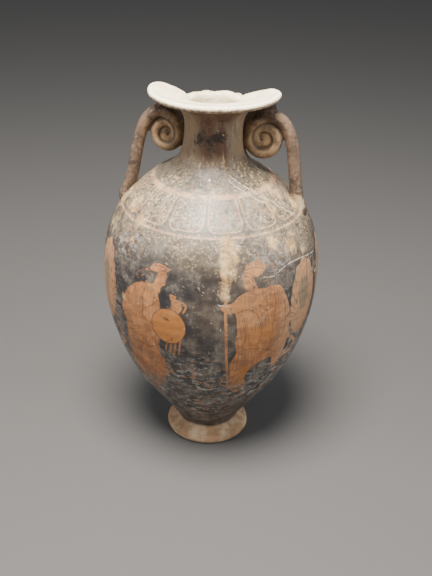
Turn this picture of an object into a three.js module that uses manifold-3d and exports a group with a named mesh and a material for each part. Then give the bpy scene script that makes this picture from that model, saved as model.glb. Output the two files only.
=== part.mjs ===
// A two-handled terracotta vase: a hollow, wheel-thrown amphora fired in one piece, with a spreading
// foot, a tall egg-shaped body, a short neck, a broad plate-like lip whose back is broken away, and
// two round handles that rise from the shoulder, arch over under the lip and curl into scrolls
// beside the neck. The origin is the centre of the resting ring, +Z is up, the handles lie along X.
import * as THREE from "three";
import { mergeVertices } from "three/addons/utils/BufferGeometryUtils.js";
import Module from "manifold-3d";

// Driving dimensions, in millimetres. Each pair is a radius and a height above the resting ring.
const restingRing = { inner: 28.5, outer: 33.4 };
const footEdge = { radius: 36.1, height: 3.9 };
const footTop = { radius: 33.6, height: 8.2 };
const footHollow = { radius: 18, height: 7.5 };
const ankle = { radius: 26.4, height: 13.4 };
const hip = { radius: 57.6, height: 60 };
const belly = { radius: 88.4, height: 157 };
const shoulder = { radius: 60.4, height: 230 };
const neck = { radius: 22.7, height: 282 };
const lipUnder = { radius: 44.5, height: 303.2 };
const lipEdge = { radius: 50.8, height: 306.8 };
const lipCrest = { radius: 46.8, height: 309.6 };
const bore = { radius: 18.4, lip: 303.4 };
const wall = 4.6;
const floorHeight = 25;
const sides = 50;

// How each stretch of the profile swells on its way: the two control points of its curve.
const toHip = { leaving: [30.5, 23], arriving: [46.5, 44], steps: 4 };
const toBelly = { leaving: [70.5, 77.5], arriving: [88.4, 119], steps: 6 };
const toShoulder = { leaving: [88.4, 186], arriving: [84, 210], steps: 7 };
const toNeck = { leaving: [36, 254], arriving: [22.7, 243], steps: 8 };
const flare = { leaving: [23, 293.5], arriving: [30, 299.6], steps: 4 };
const roll = { leaving: [47.6, 303.9], arriving: [50.6, 304.3], steps: 2 };
const brim = { leaving: [51, 308.6], arriving: [49.4, 309.6], steps: 2 };
const bowl = { leaving: [38, 309.4], arriving: [19, 304.4], steps: 4 };

// The broken back of the lip: how far behind the handles' plane the break runs, at the rim and
// beside the neck on either side. Its two outer corners are worn round. Behind the bore the neck's
// wall still stands, with a ragged top.
const breakLine = { leftRim: 9, leftNeck: 1, rightNeck: 8, rightRim: 10.5, ragged: 1.1 };
const corner = { from: 42, wear: 0.15 };
const stub = { radius: 25.4, height: 300.4, ragged: 0.9 };

// A handle's centre line: stations of its limb from the shoulder to the scroll, as distance from
// the vase's axis and height, and then the scroll's radius at each quarter turn about its centre.
const limb = [
  [71.6, 207],
  [70.6, 215],
  [68.8, 223],
  [65.4, 238],
  [63.1, 256],
  [60.4, 271],
  [55, 284.4],
  [45.6, 291.2],
  [36.6, 289],
  [30.2, 282],
];
const scroll = { fromAxis: 38.2, height: 273, quarters: [10.5, 11.8, 10.8, 8.3, 4.2, 4, 3.7, 3.4] };
const rod = { end: 2, root: 5, limb: 4.9, arch: 5 };
const coil = [4.4, 4.2, 3.9, 3.6, 2.9, 2.8, 2.6, 2.4];
const boss = { radius: 2.3, proud: 3.6 };
const pad = { fromAxis: 38.5, height: 298.8, long: 8.5, wide: 4, deep: 5 };
const rodSides = 8;
const limbSteps = 20;
const stepsPerQuarter = 4;

// Thin clay was pressed between the scroll, the arch, the neck and the lip, so no light shows
// between them. This is its outline, as distance from the vase's axis and height.
const web = [
  [21.5, 264],
  [30, 262.5],
  [38, 268],
  [50, 273],
  [55.5, 274.5],
  [58, 280],
  [53, 288],
  [47.5, 296],
  [45, 305],
  [31, 302],
  [21.5, 296],
];
const webFaces = { front: -1.2, back: 2 };

// The two handles were rolled and bent by hand, so they aren't quite alike.
const handles = [
  { side: 1, scrollSize: 1, scrollTop: 1, lean: 0, rise: 1 },
  { side: -1, scrollSize: 0.91, scrollTop: 1.15, lean: 0.075, rise: 0.96 },
];

const wasm = await Module();
wasm.setup();

// A solid from a closed geometry: only the positions are kept, and shared corners are merged.
function solidFrom(geometry) {
  geometry.deleteAttribute("normal");
  geometry.deleteAttribute("uv");
  const merged = mergeVertices(geometry, 1e-4);
  const corners = Array.from(merged.index.array);
  const faces = [];
  for (let i = 0; i < corners.length; i += 3) {
    const [a, b, c] = corners.slice(i, i + 3);
    if (a !== b && b !== c && c !== a) {
      faces.push(a, b, c);
    }
  }
  const triVerts = new Uint32Array(faces);
  const vertProperties = new Float32Array(merged.attributes.position.array);
  return new wasm.Manifold(new wasm.Mesh({ numProp: 3, vertProperties, triVerts }));
}

// A three.js geometry from a solid.
function geometryFrom(solid) {
  const mesh = solid.getMesh();
  const geometry = new THREE.BufferGeometry();
  geometry.setAttribute("position", new THREE.BufferAttribute(mesh.vertProperties, 3));
  geometry.setIndex(new THREE.BufferAttribute(mesh.triVerts, 1));
  geometry.computeVertexNormals();
  return geometry;
}

// A profile of (radius, height) points turned about the vertical axis.
function turned(profile) {
  const lathe = new THREE.LatheGeometry(profile, sides);
  lathe.rotateX(Math.PI / 2);
  return solidFrom(lathe);
}

function point(radius, height) {
  return new THREE.Vector2(radius, height);
}

// One stretch of a profile, without its first point when it carries on from another.
function stretch(start, swell, end, carriesOn) {
  const first = point(...swell.leaving);
  const second = point(...swell.arriving);
  const curve = new THREE.CubicBezierCurve(start, first, second, end);
  return curve.getPoints(swell.steps).slice(carriesOn ? 1 : 0);
}

// The body's outside from the ankle over the hip, belly and shoulder to the top of the neck.
function bodyOutside() {
  const low = point(ankle.radius, ankle.height);
  const mid = point(hip.radius, hip.height);
  const wide = point(belly.radius, belly.height);
  const high = point(shoulder.radius, shoulder.height);
  const top = point(neck.radius, neck.height);
  return [
    ...stretch(low, toHip, mid, false),
    ...stretch(mid, toBelly, wide, true),
    ...stretch(wide, toShoulder, high, true),
    ...stretch(high, toNeck, top, true),
  ];
}

// The same line moved inwards by the wall's thickness, from the neck down to the floor.
function bodyInside(outside) {
  const inside = [];
  for (let i = 2; i < outside.length - 1; i += 2) {
    const along = outside[i + 1].clone().sub(outside[i - 1]).normalize();
    const moved = point(outside[i].x - along.y * wall, outside[i].y + along.x * wall);
    if (moved.y > floorHeight + wall) {
      inside.push(moved);
    }
  }
  return inside.reverse();
}

function footOutside() {
  return [
    point(0, footHollow.height),
    point(footHollow.radius, footHollow.height - 1),
    point(restingRing.inner - 2, 2),
    point(restingRing.inner, 0),
    point(restingRing.outer, 0),
    point(footEdge.radius - 0.8, 1.1),
    point(footEdge.radius, footEdge.height),
    point(footEdge.radius - 0.7, 6.6),
    point(footTop.radius, footTop.height),
    point(footTop.radius - 3.6, 9.9),
  ];
}

// The lip's outside: a flaring underside and a rounded edge, up to its crest.
function lipOutside() {
  const top = point(neck.radius, neck.height);
  const under = point(lipUnder.radius, lipUnder.height);
  const edge = point(lipEdge.radius, lipEdge.height);
  const crest = point(lipCrest.radius, lipCrest.height);
  return [
    ...stretch(top, flare, under, true),
    ...stretch(under, roll, edge, true),
    ...stretch(edge, brim, crest, true),
  ];
}

// The lip's shallow dish, from its crest down to the bore.
function dish() {
  const crest = point(lipCrest.radius, lipCrest.height);
  const mouth = point(bore.radius, bore.lip - 5);
  return stretch(crest, bowl, mouth, false);
}

function outerForm() {
  const middle = point(0, lipCrest.height);
  return turned([...footOutside(), ...bodyOutside(), ...lipOutside(), middle]);
}

// The space inside: the body, the neck's bore and the lip's dish, open at the top.
function cavity() {
  const floor = point(0, floorHeight);
  const inside = bodyInside(bodyOutside());
  const lowest = inside[inside.length - 1];
  const toFloor = { leaving: [lowest.x * 0.72, floorHeight + 2], arriving: [12, floorHeight], steps: 3 };
  const above = lipCrest.height + 5;
  const top = [point(0, above), point(lipCrest.radius, above)];
  const bottom = stretch(lowest, toFloor, floor, true);
  return turned([...top, ...dish(), ...inside, ...bottom].reverse());
}

// A value at a place in a list, eased between its neighbours.
function between(list, place) {
  const low = Math.min(Math.floor(place), list.length - 2);
  const part = place - low;
  const before = list[Math.max(low - 1, 0)];
  const after = list[Math.min(low + 2, list.length - 1)];
  const slopes = [(list[low + 1] - before) / 2, (after - list[low]) / 2];
  const cube = part ** 3;
  const square = part ** 2;
  const ends = (2 * cube - 3 * square + 1) * list[low] + (3 * square - 2 * cube) * list[low + 1];
  return ends + (cube - 2 * square + part) * slopes[0] + (cube - square) * slopes[1];
}

// Where a handle's centre line runs, with its half thickness: first the limb, then the scroll.
function handleStations(handle) {
  const stations = [];
  const start = limb.map(([x, z]) => new THREE.Vector3(x, 0, z));
  const neckSide = scroll.fromAxis - scroll.quarters[0];
  start.push(new THREE.Vector3(neckSide, 0, scroll.height));
  const line = new THREE.CatmullRomCurve3(start, false, "centripetal");
  const halves = [rod.end, rod.root, rod.limb, rod.limb, rod.limb, rod.arch, coil[0]];
  for (let i = 0; i < limbSteps; i += 1) {
    const at = i / limbSteps;
    const spot = line.getPoint(at);
    stations.push({ x: spot.x, z: spot.z, half: between(halves, at * (halves.length - 1)) });
  }
  const size = handle.scrollSize;
  const quarters = scroll.quarters.map((radius, i) => radius * size * (i === 3 ? handle.scrollTop : 1));
  const centre = neckSide + scroll.quarters[0] * size;
  const last = (scroll.quarters.length - 1) * stepsPerQuarter;
  for (let i = 0; i <= last; i += 1) {
    const quarter = i / stepsPerQuarter;
    const angle = Math.PI + (quarter * Math.PI) / 2;
    const radius = between(quarters, quarter);
    stations.push({
      x: centre + radius * Math.cos(angle),
      z: scroll.height + radius * Math.sin(angle),
      half: between(coil, quarter) * (0.5 + size / 2),
    });
  }
  return stations.map((spot) => ({ ...spot, ...bent(handle, spot.x, spot.z) }));
}

// Where a place on a handle comes to lie once that handle's own lean and rise are given to it.
function bent(handle, x, z) {
  const neckSide = scroll.fromAxis - scroll.quarters[0];
  const reach = Math.max((x - neckSide) / (limb[0][0] - neckSide), 0);
  const above = z - shoulder.height;
  return { x: x - handle.lean * above * reach, z: shoulder.height + above * handle.rise };
}

// A straight round bar of unit radius, bent and thinned along a run of stations.
function bentBar(stations, side) {
  const section = new THREE.Shape();
  section.absarc(0, 0, 1, 0, 2 * Math.PI, false);
  const steps = stations.length - 1;
  const settings = { depth: steps, steps, bevelEnabled: false, curveSegments: rodSides / 2 };
  const bar = new THREE.ExtrudeGeometry(section, settings);
  const places = bar.attributes.position;
  for (let i = 0; i < places.count; i += 1) {
    const index = Math.round(places.getZ(i));
    const spot = stations[index];
    const before = stations[Math.max(index - 1, 0)];
    const after = stations[Math.min(index + 1, steps)];
    const along = point(after.x - before.x, after.z - before.z).normalize();
    const out = places.getX(i) * spot.half;
    const across = places.getY(i) * spot.half;
    places.setXYZ(i, side * (spot.x - along.y * out), -side * across, spot.z + along.x * out);
  }
  return solidFrom(bar);
}

// A handle is one rod, made here as two runs so that the coil never crosses itself in one solid,
// with the knob at the scroll's centre and the clay that presses the arch against the lip.
function handleSolid(handle) {
  const stations = handleStations(handle);
  const coilStart = limbSteps + 2 * stepsPerQuarter + 1;
  const outer = bentBar(stations.slice(0, coilStart + 1), handle.side);
  const inner = bentBar(stations.slice(coilStart - 1), handle.side);
  const last = stations[stations.length - 1];
  const middle = stations[stations.length - 1 - 2 * stepsPerQuarter];
  const knob = new THREE.SphereGeometry(1, rodSides, 6);
  knob.scale(boss.radius, boss.proud, boss.radius);
  knob.translate((handle.side * (last.x + middle.x)) / 2, 0, (last.z + middle.z) / 2);
  const press = new THREE.SphereGeometry(1, rodSides, 5);
  press.scale(pad.long, pad.wide, pad.deep);
  press.translate(handle.side * pad.fromAxis, 0, pad.height);
  const pieces = [inner, solidFrom(knob), solidFrom(press), webSolid(handle)];
  return pieces.reduce((whole, piece) => whole.add(piece), outer);
}

// The thin clay pressed into the spaces between the scroll, the arch and the neck.
function webSolid(handle) {
  const outline = new THREE.Shape();
  web.forEach(([x, z], i) => {
    const place = bent(handle, x, z);
    const step = i === 0 ? "moveTo" : "lineTo";
    outline[step](handle.side * place.x, place.z);
  });
  const settings = { depth: webFaces.back - webFaces.front, bevelEnabled: false };
  const sheet = new THREE.ExtrudeGeometry(outline, settings);
  sheet.rotateX(Math.PI / 2);
  sheet.translate(0, webFaces.back, 0);
  return solidFrom(sheet);
}

// What is gone from the back of the lip, with a ragged edge on its way across.
function missingPiece() {
  const outline = new THREE.Shape();
  const reach = lipEdge.radius + 4;
  const depths = [breakLine.leftRim, breakLine.leftNeck, breakLine.rightNeck, breakLine.rightRim];
  const teeth = 20;
  outline.moveTo(-reach, reach);
  for (let i = 0; i <= teeth; i += 1) {
    const x = -reach + (2 * reach * i) / teeth;
    const wobble = Math.sin(i * 2.4) + 0.6 * Math.sin(i * 5.1 + 1);
    const worn = Math.max(Math.abs(x) - corner.from, 0) ** 2 * corner.wear;
    outline.lineTo(x, between(depths, (i / teeth) * 3) + wobble * breakLine.ragged - worn);
  }
  outline.lineTo(reach, reach);
  const settings = { depth: 40, bevelEnabled: false };
  const slab = new THREE.ExtrudeGeometry(outline, settings);
  slab.translate(0, 0, neck.height + 4);
  return solidFrom(slab).subtract(neckStub());
}

// The part of the neck's wall that still stands behind the bore, with a ragged top.
function neckStub() {
  const around = 24;
  const foot = neck.height;
  const block = new THREE.CylinderGeometry(stub.radius, stub.radius, stub.height - foot, around);
  block.rotateX(Math.PI / 2);
  block.translate(0, 0, (stub.height + foot) / 2);
  const places = block.attributes.position;
  for (let i = 0; i < places.count; i += 1) {
    const turn = Math.atan2(places.getY(i), places.getX(i));
    const onRim = Math.hypot(places.getX(i), places.getY(i)) > 1;
    if (places.getZ(i) > foot + 1 && onRim) {
      const wobble = Math.sin(turn * 5) + 0.7 * Math.sin(turn * 11 + 1);
      places.setZ(i, places.getZ(i) + wobble * stub.ragged);
    }
  }
  return solidFrom(block);
}

// The fired vase as one body of clay: the handles' roots are cut off level with the inner wall.
function vaseSolid() {
  let whole = outerForm().subtract(missingPiece());
  for (const handle of handles) {
    whole = whole.add(handleSolid(handle));
  }
  return whole.subtract(cavity());
}

const clay = new THREE.MeshStandardMaterial({ color: 0x6b6159, roughness: 0.62, metalness: 0 });
const vase = new THREE.Mesh(geometryFrom(vaseSolid()), clay);
vase.name = "vase";

const part = new THREE.Group();
part.add(vase);

export default part;
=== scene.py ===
import math

import bmesh
import bpy
import numpy as np
from mathutils import Matrix, Vector
from mathutils import noise


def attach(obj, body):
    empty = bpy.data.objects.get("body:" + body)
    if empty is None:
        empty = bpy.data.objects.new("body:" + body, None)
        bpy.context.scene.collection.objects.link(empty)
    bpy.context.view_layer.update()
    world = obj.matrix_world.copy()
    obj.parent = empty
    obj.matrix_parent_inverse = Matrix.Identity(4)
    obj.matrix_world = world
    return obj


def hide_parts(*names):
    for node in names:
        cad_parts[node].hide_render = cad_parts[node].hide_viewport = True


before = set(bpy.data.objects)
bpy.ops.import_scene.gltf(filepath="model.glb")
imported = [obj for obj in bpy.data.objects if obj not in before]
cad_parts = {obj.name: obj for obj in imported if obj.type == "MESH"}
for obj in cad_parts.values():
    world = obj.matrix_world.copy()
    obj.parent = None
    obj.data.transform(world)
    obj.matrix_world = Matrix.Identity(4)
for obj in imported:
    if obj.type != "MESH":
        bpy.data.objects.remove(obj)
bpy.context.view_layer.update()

# The camera stands in front of the vase, a little to its right side, and looks down on it by about
# thirty degrees, as one looks at a pot on a table. Its lens is that of a phone held upright.
FACING = math.radians(10)
eye = Vector((0, -0.64052, 0.48885))
look = {"pitch": 0.500569, "yaw": 0.007416, "roll": 0.026529}
lens_pixels = 865
frame_height = 576

ahead = Vector((
    math.sin(look["yaw"]) * math.cos(look["pitch"]),
    math.cos(look["yaw"]) * math.cos(look["pitch"]),
    -math.sin(look["pitch"]),
))
level = Vector((math.cos(look["yaw"]), -math.sin(look["yaw"]), 0))
upright = level.cross(ahead)
side = math.cos(look["roll"]) * level + math.sin(look["roll"]) * upright
above = math.cos(look["roll"]) * upright - math.sin(look["roll"]) * level
turn = Matrix.Rotation(FACING, 4, "Z")
camera = bpy.data.objects.new("camera", bpy.data.cameras.new("camera"))
bpy.context.scene.collection.objects.link(camera)
placed = Matrix((side, above, -ahead)).transposed().to_4x4()
placed.translation = eye
camera.matrix_world = turn @ placed
camera.data.sensor_width = 36
camera.data.lens = camera.data.sensor_width * lens_pixels / frame_height
bpy.context.scene.camera = camera


# A plain pale floor, and soft light from a large lamp above and in front, with a weaker one on
# either side and a pale sky, so that the glossy paint shows a broad sheen on the shoulder.
def new_object(name, data):
    made = bpy.data.objects.new(name, data)
    bpy.context.scene.collection.objects.link(made)
    return made


def lamp(name, place, aim, size, watts, colour):
    data = bpy.data.lights.new(name, "AREA")
    data.shape = "DISK"
    data.size = size
    data.energy = watts
    data.color = colour
    made = new_object(name, data)
    made.location = place
    made.rotation_mode = "QUATERNION"
    made.rotation_quaternion = (Vector(aim) - Vector(place)).to_track_quat("-Z", "Y")


middle = (0, 0, 0.17)
lamp("overhead", (-0.02, -0.3, 1.05), middle, 0.5, 40, (1, 0.95, 0.88))
lamp("left_side", (-1.2, -0.7, 0.7), middle, 0.9, 10, (0.98, 0.98, 1))
lamp("right_side", (1.2, -0.4, 0.6), middle, 0.9, 10, (0.98, 0.98, 1))

sky = bpy.data.worlds.new("sky")
sky.use_nodes = True
sky.node_tree.nodes["Background"].inputs["Color"].default_value = (0.75, 0.77, 0.8, 1)
sky.node_tree.nodes["Background"].inputs["Strength"].default_value = 0.3
bpy.context.scene.world = sky

floor_half = 6
floor_mesh = bpy.data.meshes.new("floor")
corners = [(-1, -1), (1, -1), (1, 1), (-1, 1)]
floor_mesh.from_pydata([(floor_half * x, floor_half * y, 0) for x, y in corners], [], [(0, 1, 2, 3)])
floor = new_object("floor", floor_mesh)
floor_paint = bpy.data.materials.new("pale_floor")
floor_paint.use_nodes = True
floor_shader = floor_paint.node_tree.nodes["Principled BSDF"]
floor_shader.inputs["Base Color"].default_value = (0.1, 0.098, 0.096, 1)
floor_shader.inputs["Roughness"].default_value = 0.7
floor.data.materials.append(floor_paint)


# The vase's wall is thrown on a wheel from one lump of red clay: foot, egg-shaped body, short neck
# and plate-like lip. Its outside follows one profile, in pairs of radius and height in metres.
def bezier(start, first, second, end, steps):
    at = np.linspace(0, 1, steps + 1)[1:, None]
    back = 1 - at
    points = [np.array(p) / 1000 for p in (start, first, second, end)]
    return (back ** 3 * points[0] + 3 * back ** 2 * at * points[1]
            + 3 * back * at ** 2 * points[2] + at ** 3 * points[3])


def spaced(line, gap):
    """A line's points again, a set gap apart, where gap is a rule of height."""
    steps = np.linalg.norm(np.diff(line, axis=0), axis=1)
    length = np.concatenate([[0], np.cumsum(steps)])
    fine = np.linspace(0, length[-1], 4000)
    places = np.stack([np.interp(fine, length, line[:, i]) for i in range(2)], axis=1)
    density = np.array([1 / gap(z) for z in places[:, 1]])
    count = np.concatenate([[0], np.cumsum((density[1:] + density[:-1]) / 2 * np.diff(fine))])
    rows = int(round(count[-1]))
    at = np.interp(np.linspace(0, count[-1], rows + 1), count, fine)
    return np.stack([np.interp(at, fine, places[:, i]) for i in range(2)], axis=1)


NECK = (22.7, 282)
CREST = (46.8, 309.3)
BELLY = (88.0, 157)
BORE = 18.4
WALL = 0.0046
FLOOR_HEIGHT = 0.025
ROW_GAPS = [(0.013, 0.0013), (0.062, 0.0021), (0.218, 0.0014), (0.25, 0.0018), (0.2985, 0.0021), (1, 0.0014)]

foot_line = [(0, 7.5), (10, 7.2), (18, 6.5), (23, 4.4), (26.5, 2), (27.6, 0.6), (28.8, 0.05), (30.5, 0),
             (32.6, 0.05), (34.2, 0.5), (35.3, 1.5), (35.95, 3.0), (36.0, 4.6), (35.5, 6.3), (34.6, 7.5),
             (33.2, 8.3), (31.5, 8.9), (29.6, 9.9), (27.6, 11.3)]
outside = np.concatenate([
    np.array(foot_line) / 1000,
    bezier((27.6, 11.3), (26.6, 12), (26.1, 12.7), (26.4, 13.4), 6),
    bezier((26.4, 13.4), (30.5, 23), (46.5, 44), (57.6, 60), 60),
    bezier((57.6, 60), (70.5, 77.5), (88.0, 119), BELLY, 90),
    bezier(BELLY, (88.0, 186), (84, 210), (60.4, 230), 90),
    bezier((60.4, 230), (36, 254), (22.7, 243), NECK, 90),
    bezier(NECK, (23, 293.5), (30, 299.7), (44.5, 303.4), 40),
    bezier((44.5, 303.4), (47.6, 304.1), (50.5, 304.4), (50.6, 306.8), 24),
    bezier((50.6, 306.8), (50.8, 308.6), (49.4, 309.3), CREST, 24),
])
outside = np.concatenate([outside, np.array([(30, CREST[1]), (0, CREST[1])]) / 1000])


def row_gap(height):
    """The mesh's rows are closest on the ankle, the picture and the lip."""
    return next(gap for top, gap in ROW_GAPS if height < top)


outside_rows = spaced(outside, row_gap)


def open_curve(name, places, halves=None):
    """An open line through its places, with the half thickness of a rod where one follows it."""
    data = bpy.data.curves.new(name, "CURVE")
    data.dimensions = "3D"
    spline = data.splines.new("POLY")
    spline.points.add(len(places) - 1)
    for i, point in enumerate(spline.points):
        point.co = (*places[i], 1)
        point.radius = halves[i] if halves else 1
    return new_object(name, data)


# The wheel itself is a node tree: it turns a profile about the axis, crowds the columns on the
# picture's side, and leaves the potter's faint ridges and the slight lean of a hand-thrown wall.
class Tree:
    """A node tree with short calls for its nodes and links."""

    def __init__(self, tree):
        self.tree = tree

    def add(self, kind, settings=None, **inputs):
        node = self.tree.nodes.new(kind)
        for key, value in (settings or {}).items():
            setattr(node, key, value)
        for key, value in inputs.items():
            slot = key.replace("_", " ")
            self.join(value, node.inputs[int(slot[1:])] if slot[1:].isdigit() else node.inputs[slot])
        return node

    def join(self, value, socket):
        if isinstance(value, bpy.types.NodeSocket):
            self.tree.links.new(value, socket)
        elif isinstance(value, bpy.types.Node):
            self.tree.links.new(value.outputs[0], socket)
        else:
            socket.default_value = value

    def math(self, operation, first, second=0.0, clamp=False):
        settings = {"operation": operation, "use_clamp": clamp}
        return self.add("ShaderNodeMath", settings, s0=first, s1=second).outputs[0]


def geometry_tree(name, sockets):
    tree = bpy.data.node_groups.new(name, "GeometryNodeTree")
    tree.interface.new_socket("Geometry", in_out="INPUT", socket_type="NodeSocketGeometry")
    for label, kind in sockets:
        tree.interface.new_socket(label, in_out="INPUT", socket_type=kind)
    tree.interface.new_socket("Geometry", in_out="OUTPUT", socket_type="NodeSocketGeometry")
    return tree


def finished_mesh(piece):
    """A piece's mesh as its modifiers leave it."""
    bpy.context.view_layer.update()
    depsgraph = bpy.context.evaluated_depsgraph_get()
    return bpy.data.meshes.new_from_object(piece.evaluated_get(depsgraph))


def run_tree(piece, tree, values, name):
    """Runs a tree on a piece with its inputs set, and gives the result as a plain mesh object."""
    modifier = piece.modifiers.new(tree.name, "NODES")
    modifier.node_group = tree
    for item in tree.interface.items_tree:
        if item.in_out == "INPUT" and item.name in values:
            modifier[item.identifier] = values[item.name]
    mesh = finished_mesh(piece)
    mesh.name = name
    piece.modifiers.remove(modifier)
    bpy.data.objects.remove(piece)
    return new_object(name, mesh)


wheel = geometry_tree("wheel", [
    ("Columns", "NodeSocketInt"),
    ("Rows", "NodeSocketInt"),
    ("Front", "NodeSocketFloat"),
    ("Crowding", "NodeSocketFloat"),
    ("Ridge depth", "NodeSocketFloat"),
    ("Ridge pitch", "NodeSocketFloat"),
    ("Unevenness", "NodeSocketFloat"),
    ("Seed", "NodeSocketFloat"),
    ("Surface", "NodeSocketMaterial"),
])
t = Tree(wheel)
given = t.add("NodeGroupInput").outputs
grid = t.add("GeometryNodeMeshGrid", Vertices_X=given["Columns"], Vertices_Y=given["Rows"])
index = t.add("GeometryNodeInputIndex")
row = t.math("MODULO", index, given["Rows"])
column = t.math("FLOOR", t.math("DIVIDE", t.math("ADD", index, 0.5), given["Rows"]))
round_share = t.math("DIVIDE", column, t.math("SUBTRACT", given["Columns"], 1.0))
plain_angle = t.math("MULTIPLY", t.math("SUBTRACT", round_share, 0.5), 2 * math.pi)
pull = t.math("MULTIPLY", t.math("SINE", plain_angle), given["Crowding"])
angle = t.math("ADD", t.math("SUBTRACT", plain_angle, pull), given["Front"])
sample = t.add("GeometryNodeSampleIndex", {"data_type": "FLOAT_VECTOR", "domain": "POINT"},
               Geometry=given["Geometry"], Index=row)
t.join(t.add("GeometryNodeInputPosition"), sample.inputs["Value"])
where = t.add("ShaderNodeSeparateXYZ", Vector=sample)
height = where.outputs["Z"]
radius = where.outputs["X"]
around = t.add("ShaderNodeCombineXYZ", X=t.math("COSINE", angle), Y=t.math("SINE", angle))
ridges = t.math("SINE", t.math("MULTIPLY", t.math("DIVIDE", height, given["Ridge pitch"]), 2 * math.pi))
ridge_move = t.math("MULTIPLY", ridges, given["Ridge depth"])
spot = t.add("ShaderNodeVectorMath", {"operation": "ADD"}, s0=around)
t.join(t.add("ShaderNodeCombineXYZ", Z=t.math("MULTIPLY", height, 14.0)), spot.inputs[1])
lumps = t.add("ShaderNodeTexNoise", {"noise_dimensions": "4D"}, Vector=spot, W=given["Seed"],
              Scale=1.1, Detail=3.0)
lump_move = t.math("MULTIPLY", t.math("SUBTRACT", lumps.outputs[0], 0.5), given["Unevenness"])
near_axis = t.math("MULTIPLY", radius, 60.0, clamp=True)
moved = t.math("MULTIPLY", t.math("ADD", ridge_move, lump_move), near_axis)
reach = t.math("ADD", radius, moved)
flat = t.add("ShaderNodeVectorMath", {"operation": "SCALE"}, s0=around)
t.join(reach, flat.inputs["Scale"])
place = t.add("ShaderNodeVectorMath", {"operation": "ADD"}, s0=flat)
t.join(t.add("ShaderNodeCombineXYZ", Z=height), place.inputs[1])
turned = t.add("GeometryNodeSetPosition", Geometry=grid.outputs["Mesh"], Position=place)
closed = t.add("GeometryNodeMergeByDistance", Geometry=turned, Distance=0.00001)
real = t.add("GeometryNodeRealizeInstances", Geometry=closed)
painted = t.add("GeometryNodeSetMaterial", Geometry=real, Material=given["Surface"])
t.add("NodeGroupOutput", Geometry=painted)


def mesh_arrays(mesh):
    mesh.calc_loop_triangles()
    places = np.empty(len(mesh.vertices) * 3, np.float32)
    mesh.vertices.foreach_get("co", places)
    corners = np.empty(len(mesh.loop_triangles) * 3, np.int32)
    mesh.loop_triangles.foreach_get("vertices", corners)
    return places.reshape(-1, 3).astype(float), corners.reshape(-1, 3)


def volume(mesh):
    places, corners = mesh_arrays(mesh)
    a, b, c = (places[corners[:, i]] for i in range(3))
    return float(np.einsum("ij,ij->i", a, np.cross(b, c)).sum() / 6)


def face_out(piece):
    if volume(piece.data) < 0:
        piece.data.flip_normals()
    return piece


def turn_on_wheel(name, line, columns, crowding, ridge_depth, unevenness, surface):
    values = {
        "Columns": columns + 1,
        "Rows": len(line),
        "Front": math.radians(-76),
        "Crowding": crowding,
        "Ridge depth": ridge_depth,
        "Ridge pitch": 0.0083,
        "Unevenness": unevenness,
        "Seed": 4.0,
        "Surface": surface,
    }
    profile = open_curve(name, [(radius, 0, height) for radius, height in line])
    return face_out(run_tree(profile, wheel, values, name))


painted_surface = bpy.data.materials.new("painted_wall")
bare_surface = bpy.data.materials.new("bare_clay")
handle_surface = bpy.data.materials.new("handle_clay")
for surface in (painted_surface, bare_surface, handle_surface):
    surface.use_nodes = True

vase = turn_on_wheel("painted_vase", outside_rows, 268, 0.5, 0.00005, 0.0004, painted_surface)


# The hollow inside follows the outside at a wall's thickness, down to a rounded floor, and opens
# through the neck's bore into the lip's shallow dish. It is bare clay, never glossed.
SHELL = {"low": 0.0134, "high": 0.281, "from_axis": 0.02}
BORE_ENDS = (287, 293)
MOUTH_HEIGHT = 298.4
ABOVE_LIP = 0.316
between = (outside[:, 1] > SHELL["low"]) & (outside[:, 1] < SHELL["high"])
shell = outside[between & (outside[:, 0] > SHELL["from_axis"])]
along = np.gradient(shell, axis=0)
along /= np.linalg.norm(along, axis=1)[:, None]
inner = shell + np.stack([-along[:, 1], along[:, 0]], axis=1) * WALL
inner = inner[inner[:, 1] > FLOOR_HEIGHT + WALL]
low_radius, low_height = inner[0] * 1000
floor_line = bezier((0, 25), (12, 25), (low_radius * 0.72, 27), (low_radius, low_height), 16)
dish_line = bezier((BORE, MOUTH_HEIGHT), (BORE + 0.6, 304.4), (38, 309.1), CREST, 40)
hollow_line = np.concatenate([
    [[0, FLOOR_HEIGHT]],
    floor_line,
    inner[1:],
    [[BORE / 1000, height / 1000] for height in BORE_ENDS],
    dish_line,
    [[CREST[0] / 1000, ABOVE_LIP], [0, ABOVE_LIP]],
])
hollow_rows = spaced(hollow_line, lambda z: 0.0055 if z < 0.25 else 0.0018)
hollow = turn_on_wheel("hollow", hollow_rows, 132, 0.0, 0.0002, 0.0003, bare_surface)


# The back of the lip is broken away. The break runs across it behind the bore, and its face is
# rough, pale clay. Behind the bore the neck's wall still stands, with a ragged top.
BREAK = [(-56, 9.2), (-40, 6.2), (-22, 1.4), (-8, 4.0), (8, 6.4), (22, 8.2), (40, 9.8), (56, 10.6)]
CORNER = {"from": 0.042, "wear": 150}
SLAB = {"reach": 0.056, "behind": 0.07, "low": 0.2862, "high": 0.314}
STUB = {"radius": 0.0254, "low": 0.284, "top": 0.3004}


def ragged(x, y, z, size, depth):
    return noise.fractal(Vector((x, y, z)) / size, 0.9, 2.2, 4, noise_basis="PERLIN_NEW") * depth


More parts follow.
